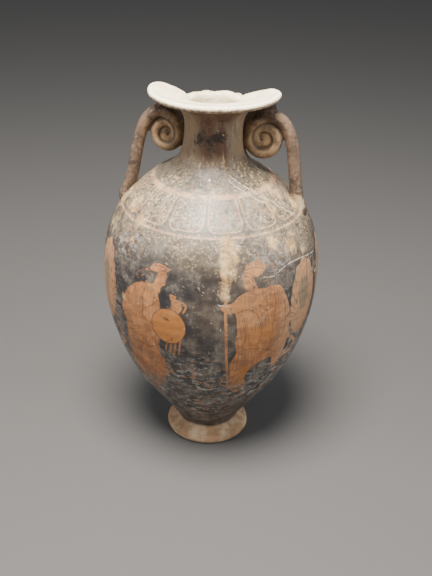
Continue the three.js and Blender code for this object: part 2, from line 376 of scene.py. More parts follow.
def break_slab():
    columns = 120
    rows = 22
    low, high = SLAB["low"], SLAB["high"]
    across = np.linspace(-SLAB["reach"], SLAB["reach"], columns)
    points = []
    for i in range(rows):
        z = low + (high - low) * i / (rows - 1)
        for x in across:
            y = np.interp(x * 1000, [p[0] for p in BREAK], [p[1] for p in BREAK]) / 1000
            y -= CORNER["wear"] * max(abs(x) - CORNER["from"], 0) ** 2
            points.append((x, y + ragged(x, 0, z, 0.006, 0.0011) + ragged(x, 3, z, 0.02, 0.0012), z))
    faces = [(r * columns + c, r * columns + c + 1, (r + 1) * columns + c + 1, (r + 1) * columns + c)
             for r in range(rows - 1) for c in range(columns - 1)]
    back = len(points)
    behind = SLAB["behind"]
    points += [(across[0], behind, low), (across[-1], behind, low),
               (across[-1], behind, high), (across[0], behind, high)]
    bottom = list(range(columns))
    top = [(rows - 1) * columns + c for c in range(columns)]
    left = [r * columns for r in range(rows)]
    right = [r * columns + columns - 1 for r in range(rows)]
    faces += [(back, back + 3, back + 2, back + 1)]
    faces += [tuple(reversed(bottom)) + (back, back + 1)]
    faces += [tuple(top) + (back + 2, back + 3)]
    faces += [tuple(left) + (back + 3, back)]
    faces += [tuple(reversed(right)) + (back + 1, back + 2)]
    mesh = bpy.data.meshes.new("break")
    mesh.from_pydata([tuple(p) for p in points], [], faces)
    mesh.materials.append(bare_surface)
    return face_out(new_object("break", mesh))


def neck_stub():
    """What still stands behind the bore: a ring of wall whose top is rough."""
    turns = 90
    rings = 14
    points = [(0, 0, STUB["low"])]
    radii = [STUB["radius"]] + [STUB["radius"] * (rings - i) / rings for i in range(rings)]
    for i, r in enumerate(radii):
        for k in range(turns):
            a = 2 * math.pi * k / turns
            x, y = r * math.cos(a), r * math.sin(a)
            top = STUB["top"] + ragged(x, y, 1, 0.007, 0.0013) + ragged(x, y, 5, 0.02, 0.0015)
            points.append((x, y, STUB["low"] if i == 0 else top))
    points.append((0, 0, STUB["top"]))
    last = len(points) - 1
    faces = []
    for k in range(turns):
        n = (k + 1) % turns
        faces.append((0, 1 + n, 1 + k))
        for i in range(len(radii) - 1):
            a, b = 1 + i * turns, 1 + (i + 1) * turns
            faces.append((a + k, a + n, b + n, b + k))
        final = 1 + (len(radii) - 1) * turns
        faces.append((final + k, final + n, last))
    mesh = bpy.data.meshes.new("stub")
    mesh.from_pydata(points, [], faces)
    mesh.materials.append(bare_surface)
    return face_out(new_object("stub", mesh))


def carve(piece, tool, operation):
    """Cuts or joins one solid with another, then drops the tool."""
    cut = piece.modifiers.new("cut", "BOOLEAN")
    cut.operation = operation
    cut.object = tool
    cut.solver = "EXACT"
    cut.material_mode = "TRANSFER"
    mesh = finished_mesh(piece)
    piece.modifiers.remove(cut)
    piece.data = mesh
    bpy.data.objects.remove(tool)
    return piece


missing = carve(break_slab(), neck_stub(), "DIFFERENCE")
vase = carve(vase, missing, "DIFFERENCE")


# Each handle is one rod of clay, rolled by hand, pressed on at the shoulder, arched up under the
# lip and curled into a scroll beside the neck, with a small knob at the scroll's heart.
LIMB = [(71.6, 207), (70.6, 215), (68.8, 223), (65.4, 238), (63.1, 256), (60.4, 271), (55, 284.4),
        (45.6, 291.2), (36.6, 289), (30.2, 282)]
SCROLL = {"from_axis": 38.2, "height": 273, "quarters": [10.5, 11.8, 10.8, 8.3, 4.2, 4.0, 3.7, 3.4]}
NECK_SIDE = SCROLL["from_axis"] - SCROLL["quarters"][0]
ROD = {"limb": [2.4, 5.1, 4.9, 4.9, 4.9, 5.0, 4.4], "quarters": [4.4, 4.2, 3.9, 3.6, 2.9, 2.8, 2.6, 2.4]}
LIMB_STEPS = 8
QUARTER_STEPS = 12
SHOULDER = 230
ROOT_POINT = 9
ROOT_SIZE = (0.0054, 0.0064, 0.0078)
PRESS_PLACE = (0.0385, 0.2988)
PRESS_SIZE = (0.0085, 0.004, 0.005)
KNOB_SIZE = (0.0024, 0.0036, 0.0024)
WAVER = {"sideways": 0.0004, "thick": 0.025}
handle_kinds = [
    {"name": "right", "side": 1, "size": 1.0, "top": 1.0, "lean": 0.0, "rise": 1.0},
    {"name": "left", "side": -1, "size": 0.91, "top": 1.15, "lean": 0.075, "rise": 0.96},
]

WEB = [(21.5, 264), (30, 262.5), (38, 268), (50, 273), (55.5, 274.5), (58, 280), (53, 288), (47.5, 296),
       (45, 304.5), (31, 302), (21.5, 296)]
WEB_FACES = (-1.0, 2.0)

coil = geometry_tree("rolled_rod", [
    ("Sides", "NodeSocketInt"),
    ("Surface", "NodeSocketMaterial"),
])
t = Tree(coil)
given = t.add("NodeGroupInput").outputs
ring = t.add("GeometryNodeCurvePrimitiveCircle", Resolution=given["Sides"], Radius=1.0)
rod = t.add("GeometryNodeCurveToMesh", Curve=given["Geometry"], Profile_Curve=ring)
rod.inputs["Fill Caps"].default_value = True
if "Scale" in rod.inputs:
    t.join(t.add("GeometryNodeInputRadius"), rod.inputs["Scale"])
merged = t.add("GeometryNodeMergeByDistance", Geometry=rod, Distance=0.00001)
real = t.add("GeometryNodeRealizeInstances", Geometry=merged)
clad = t.add("GeometryNodeSetMaterial", Geometry=real, Material=given["Surface"])
t.add("NodeGroupOutput", Geometry=clad)


def soft_spans(points, steps):
    """Points on a soft line through all of a list but its first and last, with steps to a span."""
    out = []
    for i in range(1, len(points) - 2):
        a, b, c, d = points[i - 1:i + 3]
        for k in range(steps):
            s = k / steps
            out.append(0.5 * (2 * b + (c - a) * s + (2 * a - 5 * b + 4 * c - d) * s ** 2
                              + (3 * b - a - 3 * c + d) * s ** 3))
    return out


def smooth_line(points, steps):
    """A soft line through a list of points, or numbers, with steps to each span."""
    points = np.array(points, float)
    padded = np.concatenate([[2 * points[0] - points[1]], points, [2 * points[-1] - points[-2]]])
    return np.array(soft_spans(padded, steps) + [points[-1]])


def bend(kind, line):
    """Gives a line on a handle, in (x, z) pairs, that handle's own lean and rise."""
    line = np.array(line, float)
    reach = np.clip((line[:, 0] - NECK_SIDE) / (LIMB[0][0] - NECK_SIDE), 0, None)
    line[:, 0] -= kind["lean"] * (line[:, 1] - SHOULDER) * reach
    line[:, 1] = SHOULDER + (line[:, 1] - SHOULDER) * kind["rise"]
    return line


def handle_line(kind):
    """The centre line's (x, z), the rod's half thickness and the scroll's heart, in millimetres."""
    limb = smooth_line(LIMB + [(NECK_SIDE, SCROLL["height"])], LIMB_STEPS)[:-1]
    share = np.linspace(0, len(ROD["limb"]) - 1, len(limb))
    thick = np.interp(share, range(len(ROD["limb"])), ROD["limb"])
    quarters = np.array(SCROLL["quarters"]) * kind["size"]
    quarters[3] *= kind["top"]
    radii = smooth_line(quarters, QUARTER_STEPS)
    turns = np.pi + np.linspace(0, len(quarters) - 1, len(radii)) * np.pi / 2
    centre = NECK_SIDE + SCROLL["quarters"][0] * kind["size"]
    curl = np.stack([centre + radii * np.cos(turns), SCROLL["height"] + radii * np.sin(turns)], axis=1)
    curl_thick = smooth_line(ROD["quarters"], QUARTER_STEPS) * (0.5 + kind["size"] / 2)
    line = bend(kind, np.concatenate([limb, curl]))
    half = np.concatenate([thick, curl_thick])
    return line, half, (line[-1] + line[-1 - 2 * QUARTER_STEPS]) / 2


def ball(centre, size):
    """A lump of clay, by its centre and its half sizes."""
    made = bpy.data.meshes.new("ball")
    rounded = bmesh.new()
    bmesh.ops.create_uvsphere(rounded, u_segments=24, v_segments=14, radius=1)
    rounded.to_mesh(made)
    rounded.free()
    made.transform(Matrix.Translation(centre) @ Matrix.Diagonal((*size, 1)))
    return new_object("ball", made)


def web_sheet(kind):
    """The thin clay pressed between the scroll, the arch, the neck and the lip, its paint darkened as painted
    shade.
    """
    outline = bend(kind, WEB) / 1000
    count = len(outline)
    points = [(kind["side"] * x, y / 1000, z) for y in WEB_FACES for x, z in outline]
    faces = [tuple(range(count)), tuple(reversed(range(count, 2 * count)))]
    faces += [(i, i + count, (i + 1) % count + count, (i + 1) % count) for i in range(count)]
    sheet = bpy.data.meshes.new("web")
    sheet.from_pydata(points, [], faces)
    return face_out(new_object("web", sheet))


def join_pieces(pieces, name):
    """Makes one object of several, before they are fused."""
    with bpy.context.temp_override(active_object=pieces[0], selected_editable_objects=pieces):
        bpy.ops.object.join()
    pieces[0].name = name
    return pieces[0]


def roll_handle(kind):
    """One handle of fused clay, rolled a little unevenly by hand."""
    line, half, heart = handle_line(kind)
    side = kind["side"]
    places, halves = [], []
    for i, (x, z) in enumerate(line / 1000):
        waver = noise.noise(Vector((i * 0.11, side * 3.0, 1)))
        places.append((side * x, WAVER["sideways"] * waver, z))
        halves.append(half[i] / 1000 * (1 + WAVER["thick"] * noise.noise(Vector((i * 0.3, 2, side)))))
    values = {"Sides": 28, "Surface": handle_surface}
    bar = run_tree(open_curve("handle", places, halves), coil, values, "handle_" + kind["name"])
    knob = ball((side * heart[0] / 1000, 0, heart[1] / 1000), KNOB_SIZE)
    press = ball((side * PRESS_PLACE[0], 0, PRESS_PLACE[1]), PRESS_SIZE)
    root_x, root_z = line[ROOT_POINT] / 1000
    root = ball((side * root_x, 0, root_z), ROOT_SIZE)
    whole = join_pieces([bar, knob, press, root, web_sheet(kind)], "handle_" + kind["name"])
    remesh = whole.modifiers.new("fuse", "REMESH")
    remesh.mode = "VOXEL"
    remesh.voxel_size = 0.00095
    soften = whole.modifiers.new("soften", "SMOOTH")
    soften.factor = 0.5
    soften.iterations = 2
    mesh = finished_mesh(whole)
    whole.modifiers.clear()
    whole.data = mesh
    mesh.materials.clear()
    mesh.materials.append(handle_surface)
    return face_out(whole)


for kind in handle_kinds:
    vase = carve(vase, roll_handle(kind), "UNION")
vase = carve(vase, hollow, "DIFFERENCE")


# The picture is painted before firing in the red-figure way: the ground is filled with black gloss,
# the figures are left in the clay's own orange, and their folds are drawn in thin dark lines. Each
# shape here is a smooth outline of (degrees round from the front, height in millimetres).
REACH = 12
BRUSH_STEPS = 5
MM_PER_DEGREE = math.radians(BELLY[0])
wall_places = mesh_arrays(vase.data)[0] * 1000
height_mm = wall_places[:, 2]
degrees = np.degrees(np.arctan2(wall_places[:, 0], -wall_places[:, 1]))


def unrolled(centre):
    """Each place's millimetres round the wall from a set number of degrees, and its height."""
    across = (degrees - centre + 180) % 360 - 180
    return np.stack([across * MM_PER_DEGREE, height_mm], axis=1)


def closed_line(points):
    """A soft closed outline through its points."""
    return np.array(soft_spans(np.concatenate([points[-1:], points, points[:2]]), BRUSH_STEPS))


def laid_flat(points):
    """A line's points, and every place on the wall, in millimetres round from the line's middle."""
    points = np.array(points, float)
    middle_of_line = points[:, 0].mean()
    return (points - [middle_of_line, 0]) * [MM_PER_DEGREE, 1], unrolled(middle_of_line)


def line_distance(places, line, closed):
    """Each place's distance from a line, the side of it that it is on, and whether it is inside."""
    ends = np.roll(line, -1, axis=0) if closed else line[1:]
    nearest = np.full(len(places), 1e6)
    side = np.ones(len(places))
    crossings = np.zeros(len(places), int)
    for a, b in zip(line, ends):
        step = b - a
        share = np.clip((places - a) @ step / max(step @ step, 1e-9), 0, 1)
        off = places - a - share[:, None] * step
        far = np.hypot(off[:, 0], off[:, 1])
        closer = far < nearest
        nearest[closer] = far[closer]
        turn_sign = np.where(step[0] * off[:, 1] - step[1] * off[:, 0] < 0, -1, 1)
        side[closer] = turn_sign[closer]
        if closed and a[1] != b[1]:
            level_hit = a[0] + (places[:, 1] - a[1]) * (b[0] - a[0]) / (b[1] - a[1])
            crossings += ((a[1] > places[:, 1]) != (b[1] > places[:, 1])) & (places[:, 0] < level_hit)
    return nearest, side, crossings % 2 == 1


def near_to(places, line):
    """Which places are near enough to a line for it to matter."""
    low, high = line.min(axis=0) - REACH, line.max(axis=0) + REACH
    return np.where(((places > low) & (places < high)).all(axis=1))[0]


def nowhere():
    """The depth of an empty shape, before anything is painted in it."""
    return np.full(len(degrees), -float(REACH))


def shape(points):
    """How far each place lies inside a painted shape, in millimetres; outside it is below zero."""
    flat, places = laid_flat(points)
    line = closed_line(flat)
    chosen = near_to(places, line)
    depth = nowhere()
    nearest, _, within = line_distance(places[chosen], line, True)
    depth[chosen] = np.clip(np.where(within, nearest, -nearest), -REACH, REACH)
    return depth


def oval(centre, across, up, lean=0.0):
    """An oval shape, by its centre and its half sizes in millimetres."""
    turns = np.linspace(0, 2 * math.pi, 16, endpoint=False)
    x = across * np.cos(turns)
    z = up * np.sin(turns)
    lean = math.radians(lean)
    x, z = x * math.cos(lean) - z * math.sin(lean), x * math.sin(lean) + z * math.cos(lean)
    return shape(np.stack([centre[0] + x / MM_PER_DEGREE, centre[1] + z], axis=1))


def band(points, half):
    """A stroke of the brush with soft ends, as a shape of set half width."""
    flat, places = laid_flat(points)
    line = smooth_line(flat, BRUSH_STEPS)
    chosen = near_to(places, line)
    depth = nowhere()
    nearest, _, _ = line_distance(places[chosen], line, False)
    depth[chosen] = np.clip(half - nearest, -REACH, REACH)
    return depth


def pen_lines(strokes):
    """Signed and plain distance from a set of thin lines, for drawing them finer than the mesh."""
    signed = np.full(len(degrees), float(REACH))
    plain = signed.copy()
    for points in strokes:
        flat, places = laid_flat(points)
        line = smooth_line(flat, BRUSH_STEPS)
        chosen = near_to(places, line)
        nearest, side, _ = line_distance(places[chosen], line, False)
        closer = nearest < plain[chosen]
        plain[chosen[closer]] = nearest[closer]
        signed[chosen[closer]] = (nearest * side)[closer]
    return signed, plain


# The heads are drawn to the painter's usual pattern, in profile, with a straight brow and nose.
HEAD = [(0, 1), (0.3, 0.9), (0.4, 0.7), (0.5, 0.47), (0.43, 0.41), (0.46, 0.34), (0.41, 0.28), (0.43, 0.14),
        (0.27, 0.02), (0.17, -0.08), (0.17, -0.3), (-0.24, -0.3), (-0.2, 0.08), (-0.42, 0.35), (-0.4, 0.8)]
HAIR = [(0.05, 1.03), (0.33, 0.88), (0.2, 0.72), (0.02, 0.6), (-0.06, 0.36), (-0.2, 0.1), (-0.5, 0.2),
        (-0.56, 0.5), (-0.42, 0.9)]
EYE = [(0.2, 0.57), (0.29, 0.6), (0.37, 0.58)]
BROW = [(0.17, 0.68), (0.27, 0.73), (0.38, 0.7)]
MOUTH = [(0.33, 0.31), (0.4, 0.32), (0.44, 0.33)]
EAR = [(0.0, 0.5), (0.05, 0.42), (0.0, 0.34)]


def on_head(points, base, tall, facing):
    """A line of the pattern, set on one head."""
    return [(base[0] + facing * x * tall / MM_PER_DEGREE, base[1] + z * tall) for x, z in points]


heads = [
    {"base": (-17.4, 181.2), "tall": 17, "facing": 1},
    {"base": (31.6, 182), "tall": 18, "facing": -1},
    {"base": (178, 182), "tall": 17.5, "facing": 1},
]

seated_body = [(-18.5, 181), (-16, 171), (-15.2, 164), (-15.4, 146), (-16.6, 129), (-17, 119), (-14.8, 116),
               (-15.5, 100), (-19, 84), (-25, 73), (-33, 67), (-38.5, 76), (-42.5, 92), (-41.3, 108),
               (-40, 125), (-38.2, 140), (-41, 151), (-38, 166), (-32, 176), (-27, 180)]
standing_body = [(30.4, 181.5), (24.4, 178), (20.5, 172.6), (16.4, 171.4), (15.2, 168), (18.6, 164.6),
                 (22.6, 163.2), (23.7, 148), (23.3, 135), (24.4, 127), (21.6, 115), (22.4, 102.7), (23.4, 92),
                 (24.5, 83), (28.5, 77), (33, 79), (34.4, 87), (32, 96), (33.5, 105), (39, 111.5), (46, 114),
                 (48.6, 107), (51, 99), (54, 104), (56.4, 119), (55.8, 137), (53.7, 159), (50.8, 171),
                 (46.6, 180.6), (38, 181.4)]
back_body = [(182, 181), (186, 179), (192, 176), (196.4, 168), (198, 154), (195.6, 140), (196.4, 122),
             (199.6, 104), (200.4, 90), (198, 88), (187, 86.6), (173, 88), (169.4, 90), (170, 106),
             (168, 122), (165, 134), (163.6, 141), (166.6, 146), (167.4, 160), (169, 172), (173, 178),
             (176.4, 181)]
back_feet = [[(178, 88), (177, 80), (171.6, 77.6)], [(190, 88), (190.4, 80), (185.6, 77.8)]]
lap_disc = oval((-10.9, 149), 14, 15.6)

figure = np.maximum.reduce([shape(outline) for outline in (seated_body, standing_body, back_body)]
                           + [shape(on_head(HEAD, **head)) for head in heads]
                           + [band(foot, 1.8) for foot in back_feet])
loose_hair = [oval((-26.2, 187), 5.6, 4.2, 12),
              shape([(35, 191), (38, 192.5), (42.5, 189), (42.5, 183.5), (38, 181), (35, 184)])]
hair = np.maximum.reduce([shape(on_head(HAIR, **head)) for head in heads] + loose_hair)
figure = np.minimum(figure, -hair)
cap = shape([(-22.4, 192.8), (-20.6, 196.6), (-17.6, 198.2), (-13.6, 197.2), (-10.8, 194.4), (-14.2, 193.2),
             (-18.5, 191.8)])
crown = shape([(27.5, 194.6), (28.6, 201), (30.4, 199.6), (31.6, 202.8), (33.4, 201), (35.6, 204.6),
               (36.6, 201.2), (39, 199.6), (39.2, 196.4), (36.4, 192.8), (33.6, 190.8), (31, 193.6)])
curls = [
    [(-20, 189.5), (-25, 190.6), (-29.4, 187.4), (-30, 183.6), (-26.5, 181.6), (-21.5, 183.4)],
    [(-26, 193.6), (-23, 191.6), (-20.4, 188)], [(-22, 186), (-25, 187.4), (-27, 185)],
    [(35.6, 189.4), (40, 190.4), (43.6, 186), (41, 182.2)], [(36.4, 186), (39.6, 187), (40, 184)],
    [(171, 190), (167.6, 187), (168.4, 183), (172, 182)],
]
jug_parts = [
    oval((-6.6, 166.5), 4.2, 4.8, -20),
    band([(-7.6, 169), (-8.9, 175)], 1.8),
    band([(-9.9, 176.2), (-7.3, 175.4)], 1.1),
    band([(-6.9, 172.6), (-3.4, 171.4), (-1.7, 168.6), (-3.2, 163)], 0.8),
]
tassels = [[(-12.4, 132), (-13.2, 125)], [(-9.8, 133), (-10.8, 123)], [(-7, 137), (-8.6, 122)],
           [(-4.4, 141), (-6, 122.5)]]
staff = band([(17.8, 217), (17.6, 174), (18.1, 149), (19.9, 113), (22.7, 84)], 1.1)
figure = np.maximum.reduce([figure, cap, crown, lap_disc, staff, *jug_parts,
                            *(band(line, 0.33) for line in curls), *(band(line, 0.7) for line in tassels)])


# On each side, under the handle, three palmettes stand above curling tendrils, the painters' usual
# filling there. They are left in the clay's colour too, with thin dark lines between the petals.
PETAL = math.pi / 14.4
PETAL_ROOT = 0.55
PETALS_END = 2.4


def palmette(centre, height, across, up, notch=0.95):
    """A fan of petals that spread from a root low down in an oval, notched between their tips."""
    turns = np.arange(-28, 28) * PETAL / 2
    run, rise = np.sin(turns) / across, np.cos(turns) / up
    both = run ** 2 + rise ** 2
    up_run = PETAL_ROOT * rise
    long = (up_run + np.sqrt(up_run ** 2 + (1 - PETAL_ROOT ** 2) * both)) / both
    long[1::2] *= np.where(np.abs(turns[1::2]) < PETALS_END, notch, 1)
    x, z = long * np.sin(turns), long * np.cos(turns) - PETAL_ROOT * up
    return shape(np.stack([centre + x / MM_PER_DEGREE, height + z], axis=1))


palmettes = nowhere()
hearts = nowhere()
palmette_places = [(66.5, 160, 18, 34), (-60, 163, 20, 35), (93, 165, 15, 33), (-89, 165, 15, 33),
                   (117, 160, 17, 32), (-116, 160, 17, 32)]
fan = np.zeros(len(degrees))
for centre, level_mm, across, up in palmette_places:
    leaf = palmette(centre, level_mm, across, up)
    palmettes = np.maximum(palmettes, leaf)
    hearts = np.maximum(hearts, palmette(centre, level_mm + 4, across * 0.42, up * 0.45, 0.9))
    apart = unrolled(centre) - [0, level_mm - up * PETAL_ROOT]
    spread = np.arctan2(apart[:, 0], apart[:, 1] + 1e-6) / PETAL
    fan = np.where(leaf > -2, spread, fan)


def tendril(at, level_mm, way, wide=11, narrow=3.4):
    """A stem that curls in on itself, to the right or to the left."""
    turns = np.linspace(0, 1.7 * math.pi, 9)
    spread = np.linspace(wide, narrow, 9)
    x, z = way * spread * np.sin(turns), spread * np.cos(turns)
    return band(np.stack([at + x / MM_PER_DEGREE, level_mm + z], axis=1), 1.2)


long_tendrils = [
    [(58, 128), (54, 140), (56.5, 150)], [(60, 126), (66, 117), (62, 108), (57, 112)],
    [(-50, 130), (-47, 120), (-50, 108), (-56, 104)], [(-62, 124), (-58, 112), (-64, 102)],
]
curled_tendrils = [(80, 117, 1), (-78, 117, -1), (105, 115, 1), (-105, 115, -1)]
figure = np.maximum.reduce([figure, palmettes, *(band(line, 1.5) for line in long_tendrils),
                            *(tendril(*place) for place in curled_tendrils)])


# The folds of the dresses run in soft, nearly even lines. A fold's number grows by one from each
# line to the next, so that the paint can draw them finer than the mesh.
def fold_count(centre, apart, slant, sway, start):
    """The number of folds from a centre line, set apart in millimetres, slanting and swaying."""
    places = unrolled(centre)
    rise = places[:, 1] - start
    return (places[:, 0] - slant * rise + sway * np.sin(rise / 17)) / apart


folds = np.zeros(len(degrees))
skirt = shape([(-14, 131), (-18, 119), (-15, 100), (-19, 82), (-30, 64), (-42, 72), (-45, 92), (-42, 122),
               (-34, 132)]) > 0
sash = shape([(-16, 150), (-20, 140), (-40, 128), (-43, 138), (-38, 150)]) > 0
folds = np.where(degrees < -8, fold_count(-25, 3.1, 0.15, 1.4, 150), folds)
spray = unrolled(-17) - [0, 146]
folds = np.where(sash, np.arctan2(spray[:, 1], -spray[:, 0]) * 8.5, folds)
folds = np.where(skirt, fold_count(-25, 3.0, 0.26, 1.8, 120), folds)
folds = np.where((degrees > 12) & (degrees < 58), fold_count(38, 3.0, -0.04, 2.2, 150), folds)
mantle = shape([(41, 183), (47, 184), (52, 168), (55, 140), (57, 118), (50, 106), (43, 122), (44, 150)]) > 0
folds = np.where(mantle, fold_count(48, 2.8, 0.12, -2.4, 150), folds)
folds = np.where(np.abs(degrees) > 140, fold_count(182, 4.6, 0.05, 2, 130), folds)
folds = np.where(palmettes > -1, fan, folds)
plain_skin = np.maximum.reduce([shape(on_head(HEAD, **head)) for head in heads]
                               + [lap_disc, cap, band([(15, 169), (23, 170.5)], 4.4)])
drawn_folds = np.clip(-plain_skin / 0.8, 0, 1)

pen_a = [on_head(line, **head) for head in heads for line in (EYE, MOUTH)]
pen_b = [on_head(line, **head) for head in heads for line in (BROW, EAR)]
pen_a += [
    [(-16.4, 170), (-21, 163), (-26, 157), (-24, 150), (-18, 147)],
    [(-17, 129), (-24, 124), (-33, 128), (-40, 128)],
    [(22.6, 163.4), (27, 166), (31, 165), (34, 160)],
    [(25.6, 127.2), (33, 129), (42, 124), (49, 118)],
    [(43, 182), (44.5, 165), (43.5, 150), (44, 134), (42, 122)],
    [(29, 182), (33, 177), (38, 178), (41, 181)],
    [(174, 179), (180, 170), (190, 163), (197, 158)],
    [(172, 174), (178, 160), (184, 150), (194, 143)],
    [(168, 148), (172, 138), (171, 122), (174, 104), (173, 89)],
]
pen_b += [
    [(-24, 178), (-26, 168), (-25, 160)],
    [(-19, 118), (-23, 100), (-27, 84)],
    [(-29, 121), (-33, 104), (-34, 86)],
    [(27, 160), (28.5, 145), (27.5, 133)],
    [(35, 158), (37, 143), (35.5, 131)],
    [(50, 166), (52, 148), (51, 132)],
    [(-28.5, 188.4), (-26, 189.4), (-23.5, 188.2)],
    [(28, 197), (32, 198), (37.6, 196.4)],
    [(-21, 195), (-17, 196.4), (-12, 194.8)],
]
scratch_lines = [
    [(47, 191), (52, 193.4), (57.4, 194.2), (66, 193.2), (74, 191), (81, 189.4)],
    [(38, 189.6), (43.2, 188.6)],
    [(14, 214), (19, 215.5), (27, 213)],
    [(33, 251), (48, 243), (62, 233), (74, 222)],
    [(29, 249), (43, 241), (57, 232)],
    [(14.5, 171.4), (18.5, 171)],
    [(2, 88), (9, 84), (16, 86)],
]


# Age has left its marks: chips and rubbed patches, lime and earth caked on in places, one crack.
# Each mark is a place, a half width across and up in millimetres, and a strength.
def marks(spots):
    field = np.zeros(len(degrees))
    for at, level_mm, across, up, strength in spots:
        apart = (unrolled(at) - [0, level_mm]) / [across, up]
        field = np.maximum(field, strength * np.exp(-(apart ** 2).sum(axis=1)))
    return field


crust = marks([
    (-78, 222, 16, 12, 1), (-92, 216, 14, 12, 0.9), (-57, 226, 14, 9, 0.85), (-38, 219, 14, 7, 0.85),
    (-39, 206, 6, 5, 1), (-38.8, 160, 4, 5, 0.9), (-48, 193, 5, 12, 0.6), (20, 210, 11, 12, 1),
    (18.5, 198, 9, 14, 1), (17.5, 184, 8, 13, 0.9), (18, 172, 5, 8, 0.6), (46, 211, 14, 9, 0.9),
    (58, 205, 16, 10, 0.95), (70, 200, 12, 8, 0.8), (-64, 206, 14, 12, 0.8),
    (57, 232, 12, 8, 0.7), (73, 238, 14, 10, 0.9), (84, 224, 14, 12, 1), (-12, 212, 20, 4, 0.45),
    (2, 165, 14, 22, 0.3), (0, 140, 10, 24, 0.28), (9, 261, 5, 20, 0.7), (-12, 258, 5, 12, 0.6),
    (28, 262, 5, 18, 0.8), (44, 262, 8, 22, 0.6), (150, 205, 18, 16, 0.7), (-150, 190, 20, 20, 0.5),
    (-168, 110, 24, 16, 0.5), (120, 220, 16, 10, 0.6), (-62, 120, 18, 26, 0.45), (64, 122, 18, 26, 0.45),
])
rubbed = marks([
    (0, 96, 46, 24, 0.9), (28, 92, 26, 18, 0.8), (0, 56, 70, 28, 0.95), (-34, 70, 40, 24, 0.8),
    (42, 74, 30, 26, 0.9), (-6, 228, 60, 12, 0.6), (30, 230, 40, 12, 0.6),
    (-46, 205, 26, 16, 0.7), (-48, 150, 12, 30, 0.5), (50, 200, 20, 14, 0.6), (0, 245, 60, 12, 0.5),
    (6, 118, 20, 10, 0.5), (170, 120, 60, 30, 0.6), (-130, 215, 50, 18, 0.6), (130, 100, 50, 22, 0.6),
    (-60, 105, 34, 34, 0.95), (60, 105, 34, 34, 0.95), (-72, 180, 14, 24, 0.7), (74, 180, 14, 24, 0.7),
])
soot = marks([
    (-16, 276, 22, 8, 0.8), (-2, 276.5, 24, 9, 0.85), (12, 277, 26, 9, 0.9), (26, 277.5, 22, 8, 0.8),
    (6, 263, 34, 6, 0.6), (24, 291, 30, 3, 0.5), (-28, 270, 10, 12, 0.5),
])
chip = marks([(82, 172, 2, 2.6, 1), (15.6, 150, 1, 1.8, 0.8), (6, 249, 3.4, 1.1, 0.85)])
nick = marks([
    (14, 306.6, 6, 1.6, 1), (-34, 306, 12, 1.8, 0.9), (-52, 306.4, 12, 1.6, 0.9), (38, 305.6, 10, 1.4, 0.8),
    (-68, 307, 9, 1.4, 0.8),
])
amber = np.clip(np.maximum(lap_disc, marks([(38, 140, 14, 12, 1.6), (30, 104, 9, 9, 1.4)]) - 0.6), -1, 1)


# The hollows found here are darkened as painted shade in the wall's and the handles' paint.
def crevices():
    """How hollow the surface is at each point: high in grooves and corners, low on edges."""
    edges = np.empty(len(vase.data.edges) * 2, np.int32)
    vase.data.edges.foreach_get("vertices", edges)
    edges = edges.reshape(-1, 2)
    normals = np.empty(len(vase.data.vertices) * 3, np.float32)
    vase.data.vertex_normals.foreach_get("vector", normals)
    normals = normals.reshape(-1, 3)
    offset = wall_places[edges[:, 1]] - wall_places[edges[:, 0]]
    length = np.linalg.norm(offset, axis=1) + 1e-6
    count = np.bincount(edges.ravel(), minlength=len(normals)) + 1e-6
    hollowed = np.zeros(len(normals))
    for end, sign in ((0, 1), (1, -1)):
        slope = sign * np.einsum("ij,ij->i", offset, normals[edges[:, end]]) / length
        hollowed += np.bincount(edges[:, end], slope, minlength=len(normals))
    hollowed /= count
    for _ in range(6):
        total = np.bincount(edges[:, 0], hollowed[edges[:, 1]], minlength=len(normals))
        total += np.bincount(edges[:, 1], hollowed[edges[:, 0]], minlength=len(normals))
        hollowed = 0.5 * hollowed + 0.5 * total / count
    return hollowed


# Where the handles' paint lays painted shade between the scroll's turns and on the webs.
HANDLE_SPACE = {"from_axis": 20, "above": 240, "half_depth": 8}
GROOVE = {"far": 9, "width": 4.6, "rod_edge": 0.98, "fade": 0.2}


def scroll_grooves():
    """How deep each handle point lies between two turns of the rod, or off the rod, 0 to 1, as painted shade.
    """
    deep = np.zeros(len(degrees))
    for kind in handle_kinds:
        line, half, _ = handle_line(kind)
        near = np.where((wall_places[:, 0] * kind["side"] > HANDLE_SPACE["from_axis"])
                        & (height_mm > HANDLE_SPACE["above"])
                        & (np.abs(wall_places[:, 1]) < HANDLE_SPACE["half_depth"]))[0]
        flat = wall_places[near][:, [0, 2]] * [kind["side"], 1]
        far = np.linalg.norm(flat[:, None, :] - line[None, :, :], axis=2)
        first = far.argmin(axis=1)
        nearest = far[np.arange(len(near)), first]
        apart = np.abs(np.arange(len(line))[None, :] - first[:, None])
        second = np.where(apart > 2 * QUARTER_STEPS + 2, far, np.inf).min(axis=1)
        between_turns = np.clip(1 - (second - nearest) / GROOVE["width"], 0, 1)
        off_rod = np.clip((nearest / half[first] - GROOVE["rod_edge"]) / GROOVE["fade"], 0, 1)
        deep[near] = np.maximum(between_turns * (second < GROOVE["far"]), off_rod)
    return deep


def keep_field(name, values):
    field = vase.data.attributes.new(name, "FLOAT", "POINT")
    field.data.foreach_set("value", np.asarray(values, np.float32))


ink_a, ink_a_near = pen_lines(pen_a)
ink_b, ink_b_near = pen_lines(pen_b)
scar, scar_near = pen_lines(scratch_lines)
for name, values in {
    "figure": figure, "disc": lap_disc, "amber": amber, "heart": hearts,
    "folds": folds, "fold_ink": drawn_folds, "ink_a": ink_a, "ink_a_near": ink_a_near,
    "ink_b": ink_b, "ink_b_near": ink_b_near, "scar": scar, "scar_near": scar_near,
    "crust": crust, "soot": soot, "chip": chip, "nick": nick, "rubbed": rubbed, "crevice": crevices(),
    "groove_shade": scroll_grooves(),
}.items():
    keep_field(name, values)
